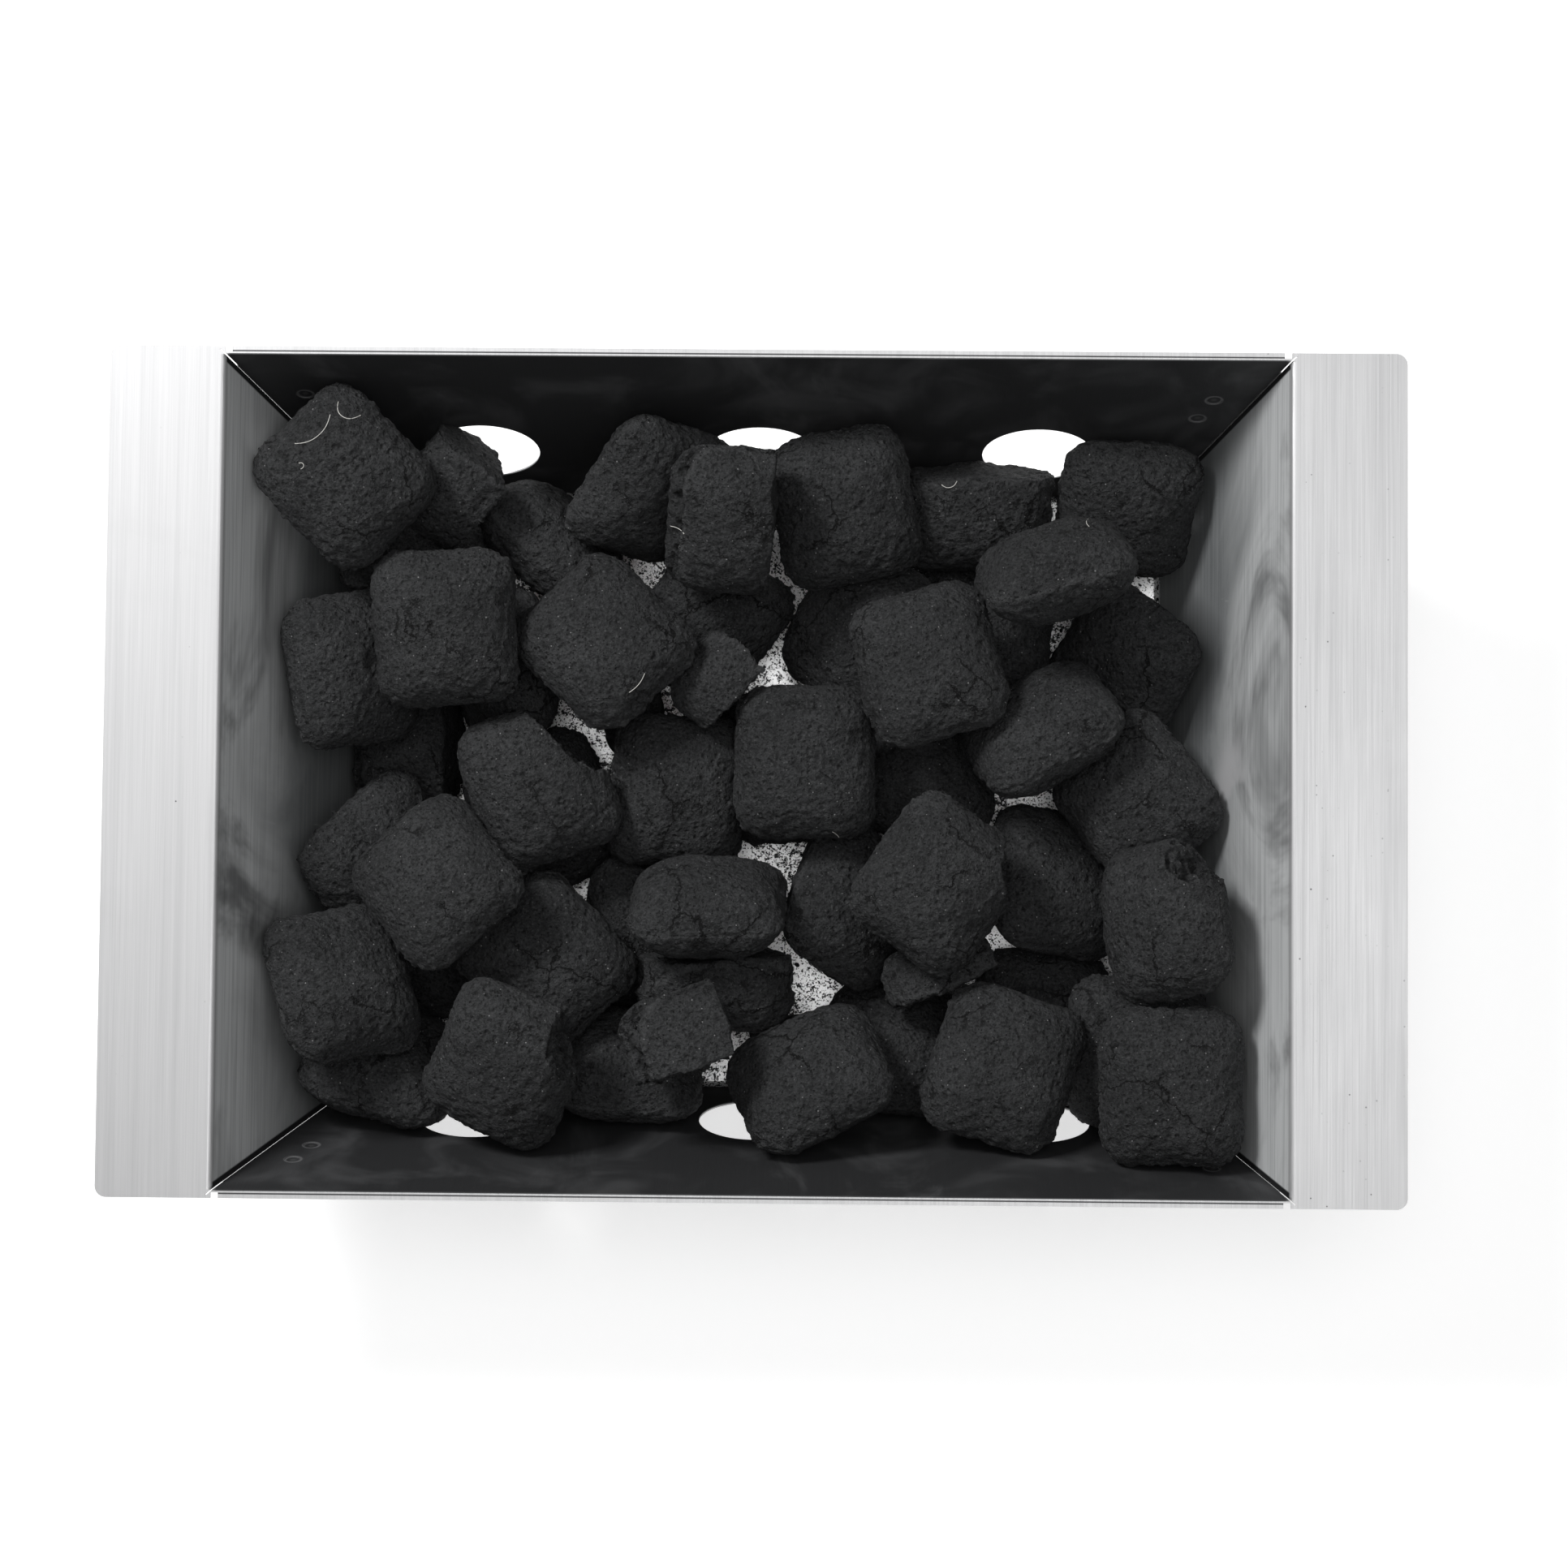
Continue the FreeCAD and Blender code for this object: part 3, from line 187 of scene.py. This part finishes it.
end_wall = layer(tree, dark_smear, end_wall, SMUDGE_AND_DARK_REFLECTION)
scuffs = grain_noise(tree, stretched(tree, place, (30.0, 260.0, 60.0), (0.5, 0.0, 0.3)), 1.0, 2.0, 0.5, 0.5)
scuffs = reckon(tree, "MULTIPLY", fade(tree, scuffs, 0.70, 0.74), fade(tree, stains, 0.48, 0.60))
end_wall = layer(tree, reckon(tree, "MULTIPLY", scuffs, 0.5), end_wall, PALE_SCRATCH)

# Painted dark reflection: the long walls are coloured all but black, with paler blotches, standing in for
# the coal and dark surroundings that they mirror.
long_wall = layer(tree, fade(tree, blotches, 0.45, 0.80), SMUDGE_AND_DARK_REFLECTION, SMUDGE_AND_REFLECTION_HAZE)
long_wall = layer(tree, fade(tree, smears, 0.58, 0.75, 0.0, 0.5), long_wall, WALL_SMEAR)

# Spot weld marks: a pale ring about each shallow dimple near the corners of the long walls.
for mark_x, mark_z in WELD_MARKS:
    out = spot(tree, far_x, z, (mark_x, mark_z), (0.0030, 0.0028))
    ring = reckon(tree, "MULTIPLY", fade(tree, out, 0.72, 0.92), fade(tree, out, 1.02, 1.25, 1.0, 0.0))
    long_wall = layer(tree, reckon(tree, "MULTIPLY", ring, 0.55), long_wall, WELD_RING)
    heart = fade(tree, out, 0.15, 0.5, 0.5, 0.0)
    long_wall = layer(tree, heart, long_wall, WELD_HEART)

# Coal dust on the floor: a haze, and specks from a fraction of a millimetre to two.
fine_specks = grain_noise(tree, place, 1500.0, 2.0, 0.6)
coarse_specks = grain_noise(tree, place, 520.0, 3.0, 0.65)
dust_cloud = grain_noise(tree, place, 45.0, 4.0, 0.6)
floor_steel = layer(tree, fade(tree, dust_cloud, 0.40, 0.75, 0.0, 0.7), FLOOR_STEEL, HAZED_FLOOR)
speck_line = reckon(tree, "MULTIPLY_ADD", dust_cloud, -0.30, 0.68)
floor_specks = reckon(tree, "MAXIMUM",
                      fade(tree, reckon(tree, "SUBTRACT", fine_specks, speck_line), 0.0, 0.05),
                      fade(tree, reckon(tree, "SUBTRACT", coarse_specks, speck_line), 0.03, 0.07))
floor_steel = layer(tree, floor_specks, floor_steel, COAL_DUST_AND_GAP_SHADE)

# Stray black specks on the flanges, most of them on the right one.
stray = place_node(tree, "TexVoronoi", {"Vector": place, "Scale": 520.0, "Randomness": 1.0}, feature="F1")
chance = place_node(tree, "SeparateColor", {0: stray.outputs["Color"]}).outputs[0]
chance_line = fade(tree, x, -0.20, 0.22, 0.985, 0.90)
here = fade(tree, reckon(tree, "SUBTRACT", chance, chance_line), 0.0, 0.01)
crowd = fade(tree, grain_noise(tree, place, 35.0, 2.0), 0.42, 0.66)
speck = reckon(tree, "MULTIPLY", reckon(tree, "MULTIPLY", here, crowd),
               fade(tree, stray.outputs["Distance"], 0.10, 0.22, 1.0, 0.0))
bright = layer(tree, reckon(tree, "MULTIPLY", speck, 0.85), bright, STRAY_SPECK)

# Put together, from the inside out.
# Painted shade: a dark line down the mitre corners, where the end walls meet the long walls, stopping below
# the rim.
mitre_gap_shade = reckon(tree, "MULTIPLY", fade(tree, reckon(tree, "ABSOLUTE", beyond_long), 0.0018, 0.0026, 1.0, 0.0),
               fade(tree, reckon(tree, "ABSOLUTE", beyond_end), 0.0004, 0.0008, 1.0, 0.0))
mitre_gap_shade = reckon(tree, "MULTIPLY", mitre_gap_shade, fade(tree, z, RIM - 0.0016, RIM - 0.0008, 1.0, 0.0))
hem_line = reckon(tree, "ABSOLUTE", reckon(tree, "SUBTRACT", far_y, MOUTH_HALF_Y + 0.0013))
hem_line = reckon(tree, "MULTIPLY", fade(tree, hem_line, 0.00015, 0.0004, 1.0, 0.0),
                  fade(tree, far_x, MOUTH_HALF_X - 0.001, MOUTH_HALF_X, 1.0, 0.0))
inside = layer(tree, on_long, end_wall, long_wall)
inside = layer(tree, on_floor, inside, floor_steel)
skin = layer(tree, outside, inside, bright)
skin = layer(tree, on_flange, skin, bright)
skin = layer(tree, mitre_gap_shade, skin, COAL_DUST_AND_GAP_SHADE)
skin = layer(tree, hem_line, skin, HEM_SHADE)
tree.links.new(skin, steel_shader.inputs["Base Color"])
bare = reckon(tree, "MAXIMUM", on_flange, outside)
metal = reckon(tree, "MULTIPLY_ADD", on_floor, 0.35, fade(tree, bare, 0.0, 1.0, 0.38, 0.90))
tree.links.new(metal, steel_shader.inputs["Metallic"])
long_wall_rough = reckon(tree, "MULTIPLY", on_long, reckon(tree, "SUBTRACT", 1.0, on_flange))
dull = reckon(tree, "MULTIPLY_ADD", fine_brush, 0.16, 0.30)
dull = reckon(tree, "MULTIPLY_ADD", long_wall_rough, 0.14, dull)
dull = reckon(tree, "MULTIPLY_ADD", smears, 0.12, dull)
dull = reckon(tree, "MULTIPLY_ADD", on_floor, -0.10, dull)
tree.links.new(dull, steel_shader.inputs["Roughness"])
relief = reckon(tree, "MULTIPLY_ADD", broad_brush, 0.5, fine_brush)
relief = reckon(tree, "MULTIPLY_ADD", reckon(tree, "MULTIPLY", floor_specks, on_floor), 2.0, relief)
bump = place_node(tree, "Bump", {"Strength": 0.25, "Distance": 0.00008, "Height": relief})
tree.links.new(bump.outputs[0], steel_shader.inputs["Normal"])

tray = frame["nodes"]["tray"]
for material_slot in tray.material_slots:
    material_slot.material = steel

# ---------------------------------------------------------------------------
# The charcoal: fine powder and binder pressed between two pocketed rolls, so each piece is a
# pillow with a seam round its middle, matt, pitted and cracked by drying; broken ones show a
# crumbling inside. Each is a finer copy of its CAD node, which it stands for.
# ---------------------------------------------------------------------------

VOXEL = 0.00095
COAL_DARK = (0.0110, 0.0113, 0.0118, 1.0)
COAL_MID = (0.0300, 0.0308, 0.0320, 1.0)
COAL_WORN = (0.0460, 0.0472, 0.0487, 1.0)
COAL_PALE = (0.1050, 0.1065, 0.1085, 1.0)
CRACK_AND_PIT_SHADE = (0.0030, 0.0030, 0.0032, 1.0)
PALE_FLECK_AND_GLINT = (0.260, 0.260, 0.262, 1.0)

coal = bpy.data.materials.new("pressed_charcoal")
coal.use_nodes = True
tree = coal.node_tree
coal_shader = tree.nodes["Principled BSDF"]
place = place_node(tree, "TexCoord").outputs["Object"]
broken = place_node(tree, "Attribute", attribute_name="crumbled").outputs["Fac"]
seam = place_node(tree, "Attribute", attribute_name="seam").outputs["Fac"]

patches = grain_noise(tree, place, 38.0, 3.0, 0.55)
grit = grain_noise(tree, place, 330.0, 5.0, 0.70)
powder = grain_noise(tree, place, 950.0, 3.0, 0.70)
pits = place_node(tree, "TexVoronoi", {"Vector": place, "Scale": 330.0, "Randomness": 1.0},
                  feature="SMOOTH_F1")
pits.inputs["Smoothness"].default_value = 0.35
pit = fade(tree, pits.outputs["Distance"], 0.05, 0.42)
pores = place_node(tree, "TexVoronoi", {"Vector": place, "Scale": 900.0, "Randomness": 1.0}, feature="F1")
pore_chance = place_node(tree, "SeparateColor", {0: pores.outputs["Color"]})
pore = reckon(tree, "MULTIPLY", fade(tree, pores.outputs["Distance"], 0.14, 0.34, 1.0, 0.0),
              fade(tree, pore_chance.outputs[0], 0.80, 0.84))

# Drying cracks: the broken-up edges of large cells, kept only in some patches.
wander = place_node(tree, "TexNoise", {"Vector": place, "Scale": 160.0, "Detail": 4.0, "Roughness": 0.65})
push = place_node(tree, "VectorMath", {0: wander.outputs["Color"], 1: (0.5, 0.5, 0.5)}, operation="SUBTRACT")
push = place_node(tree, "VectorMath", {0: push.outputs[0], "Scale": 0.010}, operation="SCALE")
strayed = place_node(tree, "VectorMath", {0: place, 1: push.outputs[0]}, operation="ADD").outputs[0]
cells = place_node(tree, "TexVoronoi", {"Vector": strayed, "Scale": 33.0}, feature="DISTANCE_TO_EDGE")
crack_patch = fade(tree, grain_noise(tree, place, 24.0, 2.0), 0.52, 0.60)
crack = reckon(tree, "MULTIPLY", fade(tree, cells.outputs["Distance"], 0.003, 0.016, 1.0, 0.0), crack_patch)
small_cells = place_node(tree, "TexVoronoi", {"Vector": strayed, "Scale": 125.0}, feature="DISTANCE_TO_EDGE")
small_patch = fade(tree, grain_noise(tree, place, 52.0, 2.0), 0.60, 0.68)
small_crack = fade(tree, small_cells.outputs["Distance"], 0.01, 0.040, 0.8, 0.0)
small_crack = reckon(tree, "MULTIPLY", small_crack, small_patch)
crack = reckon(tree, "MAXIMUM", crack, small_crack)

# Pale specks: partly flecks of ash, partly painted glints.
sparks = place_node(tree, "TexVoronoi", {"Vector": place, "Scale": 640.0, "Randomness": 1.0}, feature="F1")
spark_chance = place_node(tree, "SeparateColor", {0: sparks.outputs["Color"]})
fleck_and_glint = reckon(tree, "MULTIPLY", fade(tree, sparks.outputs["Distance"], 0.08, 0.22, 1.0, 0.0),
               fade(tree, spark_chance.outputs[1], 0.925, 0.935))

skin = layer(tree, fade(tree, patches, 0.30, 0.72), COAL_MID, COAL_WORN)
# Darker where the grit and powder noise is low and paler where it is high, as the bump raises it: partly the
# grain's own tone, partly painted shade in the hollows and painted highlight on the grains.
skin = layer(tree, fade(tree, grit, 0.52, 0.30, 0.0, 0.85), skin, COAL_DARK)
skin = layer(tree, fade(tree, powder, 0.52, 0.36, 0.0, 0.75), skin, COAL_DARK)
skin = layer(tree, fade(tree, powder, 0.56, 0.76, 0.0, 0.75), skin, COAL_PALE)
skin = layer(tree, reckon(tree, "MULTIPLY", seam, 0.22), skin, COAL_PALE)
skin = layer(tree, reckon(tree, "MULTIPLY", broken, fade(tree, grit, 0.60, 0.35, 0.0, 0.7)), skin, COAL_DARK)
# Painted shade: pores and drying cracks coloured near black, for the shade inside them.
skin = layer(tree, reckon(tree, "MULTIPLY", pore, 0.8), skin, CRACK_AND_PIT_SHADE)
skin = layer(tree, crack, skin, CRACK_AND_PIT_SHADE)
skin = layer(tree, fleck_and_glint, skin, PALE_FLECK_AND_GLINT)
tree.links.new(skin, coal_shader.inputs["Base Color"])
tree.links.new(fade(tree, grit, 0.2, 0.8, 0.98, 0.78), coal_shader.inputs["Roughness"])
coal_shader.inputs["Specular IOR Level"].default_value = 0.28

relief = reckon(tree, "MULTIPLY_ADD", grit, 1.0, reckon(tree, "MULTIPLY", pit, 0.55))
relief = reckon(tree, "MULTIPLY_ADD", powder, 0.55, relief)
relief = reckon(tree, "MULTIPLY_ADD", pore, -0.7, relief)
relief = reckon(tree, "MULTIPLY_ADD", crack, -1.6, relief)
bump = place_node(tree, "Bump", {"Strength": 1.0, "Distance": 0.0030, "Height": relief})
tree.links.new(bump.outputs[0], coal_shader.inputs["Normal"])


def cloud_pattern(name, size, depth, contrast=1.0):
    """Noise that pushes the surface in and out, its lumps about so large."""
    pattern = bpy.data.textures.new(name, "CLOUDS")
    pattern.noise_scale = size
    pattern.noise_depth = depth
    pattern.contrast = contrast
    return pattern


pressing_lumps = cloud_pattern("pressing_lumps", 0.017, 1)
skin_pits = cloud_pattern("skin_pits", 0.0030, 2, 1.5)
broken_lumps = cloud_pattern("broken_lumps", 0.0085, 3, 1.5)
broken_grit = cloud_pattern("broken_grit", 0.0032, 2, 1.6)


def merge_copy(name):
    """Copy of a CAD node's mesh with its loose triangles joined."""
    bpy.ops.object.select_all(action="DESELECT")
    piece = bpy.data.objects.new(name + "_pressed", frame["nodes"][name].data.copy())
    bpy.context.scene.collection.objects.link(piece)
    bpy.context.view_layer.objects.active = piece
    piece.select_set(True)
    bpy.ops.object.mode_set(mode="EDIT")
    bpy.ops.mesh.select_all(action="SELECT")
    bpy.ops.mesh.remove_doubles(threshold=0.00002)
    bpy.ops.object.mode_set(mode="OBJECT")
    return piece


def pressing_direction(mesh):
    """The way the two rolls closed on a piece, and where its seam lies along it."""
    shape = bmesh.new()
    shape.from_mesh(mesh)
    shape.normal_update()
    sharp = []
    for edge in shape.edges:
        if len(edge.link_faces) == 2 and edge.calc_face_angle(0.0) > 0.6:
            across = (edge.link_faces[0].normal - edge.link_faces[1].normal).normalized()
            middle = (edge.verts[0].co + edge.verts[1].co) / 2
            sharp.append((across, edge.calc_length(), middle))
    shape.free()
    best, closest, level = 0.0, Vector((0, 0, 1)), 0.0
    for across, length, middle in sharp[::max(1, len(sharp) // 60)]:
        alike = [(s[1], s[2]) for s in sharp if abs(s[0].dot(across)) > 0.995]
        flat = [(far, spot_at) for far, spot_at in alike if abs((spot_at - middle).dot(across)) < 0.0004]
        total = sum(far for far, spot_at in flat)
        if total > best:
            best, closest, level = total, across, middle.dot(across)
    return closest, level


def roughen(piece, pattern, strength, middle, group=""):
    """Push the surface in and out by a pattern, and keep the result."""
    push = piece.modifiers.new("Roughen", "DISPLACE")
    push.texture = pattern
    push.texture_coords = "LOCAL"
    push.strength = strength
    push.mid_level = middle
    push.vertex_group = group
    bpy.ops.object.modifier_apply(modifier=push.name)


def press_briquette(name, body):
    """One briquette: its CAD shape in fine voxels, roughened, more so where it is broken."""
    piece = merge_copy(name)
    across, level = pressing_direction(piece.data)
    remesh = piece.modifiers.new("Remesh", "REMESH")
    remesh.mode = "VOXEL"
    remesh.voxel_size = VOXEL
    bpy.ops.object.modifier_apply(modifier="Remesh")
    mesh = piece.data
    count = len(mesh.vertices)
    normals = np.empty(count * 3, np.float32)
    mesh.vertices.foreach_get("normal", normals)
    places = np.empty(count * 3, np.float32)
    mesh.vertices.foreach_get("co", places)
    facing = np.abs(normals.reshape(-1, 3) @ np.array(across, np.float32))
    off_seam = places.reshape(-1, 3) @ np.array(across, np.float32) - level
    near_seam = np.exp(-((off_seam / 0.0013) ** 2))
    crumbled = np.clip((0.26 - facing) / 0.16, 0, 1)
    only_break = np.clip(crumbled - 0.75 * near_seam, 0, 1)
    group = piece.vertex_groups.new(name="crumbled_edge")
    for index in np.nonzero(only_break > 0.02)[0]:
        group.add([int(index)], float(only_break[index]), "REPLACE")
    seam_group = piece.vertex_groups.new(name="seam_edge")
    for index in np.nonzero(near_seam > 0.05)[0]:
        seam_group.add([int(index)], float(near_seam[index]), "REPLACE")
    for label, values in (("crumbled", only_break), ("seam", near_seam)):
        marks = mesh.attributes.new(label, "FLOAT", "POINT")
        marks.data.foreach_set("value", values.astype(np.float32))
    roughen(piece, pressing_lumps, 0.0022, 0.5)
    roughen(piece, skin_pits, 0.0012, 0.55)
    roughen(piece, skin_pits, 0.0011, 0.6, "seam_edge")
    roughen(piece, broken_lumps, 0.0075, 0.68, "crumbled_edge")
    roughen(piece, broken_grit, 0.0030, 0.6, "crumbled_edge")
    bpy.ops.object.shade_smooth()
    mesh.materials.clear()
    mesh.materials.append(coal)
    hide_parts(name)
    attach(piece, body)
    return piece


body_of = {node: body for body, nodes in frame["record"]["behaviour"]["bodies"].items() for node in nodes}
briquettes = {}
for name in sorted(frame["nodes"]):
    if name.startswith("briquette_"):
        briquettes[name] = press_briquette(name, body_of[name])

# ---------------------------------------------------------------------------
# Crumbs: bits of charcoal that have dropped off and lie loose on the tray's floor. Each is a
# small faceted lump with its corners knocked about, and all of them are joined in one mesh.
# ---------------------------------------------------------------------------

chance_of = random.Random(7)
CRUMBS = 90
CRUMB_REACH_X = 0.145
CRUMB_REACH_Y = 0.107
bpy.ops.object.select_all(action="DESELECT")
crumbs = []
for number in range(CRUMBS):
    radius = 0.0004 + 0.0012 * chance_of.random() ** 3
    at_x = chance_of.uniform(-CRUMB_REACH_X, CRUMB_REACH_X)
    at_y = chance_of.uniform(-CRUMB_REACH_Y, CRUMB_REACH_Y)
    resting = (at_x, at_y, SHEET + radius * 0.72)
    bpy.ops.mesh.primitive_ico_sphere_add(subdivisions=1, radius=radius, location=resting)
    crumb = bpy.context.object
    crumb.scale = (chance_of.uniform(0.8, 1.5), chance_of.uniform(0.8, 1.5), 0.75)
    crumb.rotation_euler = (0, 0, chance_of.uniform(0, 6.28))
    bpy.ops.object.transform_apply(location=True, rotation=True, scale=True)
    for corner in crumb.data.vertices:
        chipped = Vector((chance_of.uniform(-1, 1), chance_of.uniform(-1, 1), chance_of.uniform(-0.3, 0.3)))
        corner.co += chipped * radius * 0.22
    crumbs.append(crumb)
bpy.ops.object.select_all(action="DESELECT")
for crumb in crumbs:
    crumb.select_set(True)
bpy.context.view_layer.objects.active = crumbs[0]
bpy.ops.object.join()
floor_crumbs = bpy.context.object
floor_crumbs.name = "floor_crumbs"
floor_crumbs.data.materials.append(coal)
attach(floor_crumbs, "tray")

# ---------------------------------------------------------------------------
# Fibres: a few thin pale strands caught on the coals. Each is a bent tube laid along the top
# of the briquette that it clings to, and it rides with that briquette.
# ---------------------------------------------------------------------------

STRAND = 0.00013
STRAND_LIFT = STRAND * 2.2
ABOVE_ALL = 0.2
STRAW_DARK = (0.42, 0.41, 0.38, 1.0)
STRAW_PALE = (0.72, 0.71, 0.68, 1.0)
# Name, middle in x and y, heading, length and curl of each.
strands = (
    ("hair_back_left", -0.1560, 0.1190, 0.7, 0.018, 0.35),
    ("hair_left_corner", -0.1480, 0.1260, 2.6, 0.013, -0.6),
    ("hair_short", -0.1610, 0.1090, 1.9, 0.004, 0.8),
    ("straw_middle", -0.0420, 0.0330, 0.9, 0.009, 0.15),
    ("straw_centre", -0.0290, 0.0900, 2.7, 0.008, 0.3),
    ("hair_right", 0.0700, 0.1080, 0.2, 0.007, 0.5),
    ("hair_far_right", 0.1180, 0.0930, 1.4, 0.005, -0.4),
    ("straw_low", 0.0300, -0.0200, 2.2, 0.005, 0.3),
)
straw = bpy.data.materials.new("pale_straw")
straw.use_nodes = True
tree = straw.node_tree
straw_shader = tree.nodes["Principled BSDF"]
along_straw = grain_noise(tree, place_node(tree, "TexCoord").outputs["Object"], 900.0, 3.0)
tree.links.new(layer(tree, along_straw, STRAW_DARK, STRAW_PALE), straw_shader.inputs["Base Color"])
straw_shader.inputs["Roughness"].default_value = 0.6


def plumb_height(piece, at_x, at_y):
    """Height at which a plumb line meets a piece, or None where it misses."""
    met, where, facing_way, index = piece.ray_cast(Vector((at_x, at_y, ABOVE_ALL)), Vector((0, 0, -1)))
    return where.z if met else None


def coal_below(at_x, at_y):
    """The briquette that a plumb line meets first."""
    highest, owner = None, None
    for name, piece in briquettes.items():
        height_here = plumb_height(piece, at_x, at_y)
        if height_here is not None and (highest is None or height_here > highest):
            highest, owner = height_here, name
    return owner


for label, at_x, at_y, heading, length, curl in strands:
    owner = coal_below(at_x, at_y)
    if owner is None:
        continue
    path = []
    for step in range(6):
        share = step / 5 - 0.5
        angle = heading + curl * share * 2.5
        px = at_x + math.cos(angle) * length * share
        py = at_y + math.sin(angle) * length * share
        height_here = plumb_height(briquettes[owner], px, py)
        if height_here is not None:
            path.append(Vector((px, py, height_here + STRAND_LIFT)))
    if len(path) < 3:
        continue
    bpy.ops.object.select_all(action="DESELECT")
    bpy.ops.curve.primitive_nurbs_path_add()
    strand = bpy.context.object
    strand.name = label
    bent = strand.data.splines[0]
    for spare in range(len(path) - len(bent.points)):
        bent.points.add(1)
    last = len(path) - 1
    for number, point in enumerate(bent.points):
        point.co = (*path[min(number, last)], 1.0)
    strand.data.bevel_depth = STRAND
    strand.data.bevel_resolution = 1
    strand.data.use_fill_caps = True
    bpy.ops.object.convert(target="MESH")
    strand.data.materials.append(straw)
    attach(strand, body_of[owner])

# ---------------------------------------------------------------------------
# Studio: pale floor, white surroundings, a wide soft box overhead, a smaller and stronger one
# to the back left, and the camera almost straight above the tray.
# ---------------------------------------------------------------------------

PAPER_GREY = (0.90, 0.90, 0.90, 1.0)
PAPER_WHITE = (0.93, 0.93, 0.93, 1.0)

bpy.ops.object.select_all(action="DESELECT")
bpy.ops.mesh.primitive_plane_add(size=6.0, location=(0, 0, 0))
ground = bpy.context.object
ground.name = "studio_floor"
paper = bpy.data.materials.new("white_paper")
paper.use_nodes = True
tree = paper.node_tree
paper_shader = tree.nodes["Principled BSDF"]
fibre = grain_noise(tree, place_node(tree, "TexCoord").outputs["Object"], 300.0, 3.0)
tree.links.new(layer(tree, fibre, PAPER_GREY, PAPER_WHITE), paper_shader.inputs["Base Color"])
paper_shader.inputs["Roughness"].default_value = 0.9
paper_shader.inputs["Specular IOR Level"].default_value = 0.1
paper_shader.inputs["Emission Color"].default_value = (1.0, 1.0, 1.0, 1.0)
paper_shader.inputs["Emission Strength"].default_value = 0.47
ground.data.materials.append(paper)

world = bpy.data.worlds.new("studio_white")
world.use_nodes = True
world.node_tree.nodes["Background"].inputs["Color"].default_value = (1.0, 1.0, 1.0, 1.0)
world.node_tree.nodes["Background"].inputs["Strength"].default_value = 0.30
bpy.context.scene.world = world


def soft_light(name, location, size, power):
    """Square soft box aimed at the middle of the tray."""
    lamp = bpy.data.lights.new(name, "AREA")
    lamp.shape = "SQUARE"
    lamp.size = size
    lamp.energy = power
    holder = bpy.data.objects.new(name, lamp)
    holder.location = location
    holder.rotation_euler = (Vector((0, 0, 0.05)) - Vector(location)).to_track_quat("-Z", "Y").to_euler()
    bpy.context.scene.collection.objects.link(holder)


soft_light("overhead_box", (0.22, 0.10, 2.3), 1.5, 15.5)
soft_light("key_box", (-0.95, 0.95, 1.35), 0.45, 29.0)

eye = bpy.data.cameras.new("camera")
eye.sensor_width = 36.0
eye.lens = 84.88
eye.clip_start = 0.05
camera = bpy.data.objects.new("camera", eye)
camera.location = (0.0284, -0.0749, 1.405)
camera.rotation_euler = (math.radians(3.15), math.radians(0.75), math.radians(0.53))
bpy.context.scene.collection.objects.link(camera)
bpy.context.scene.camera = camera
bpy.context.scene.view_settings.view_transform = "Standard"
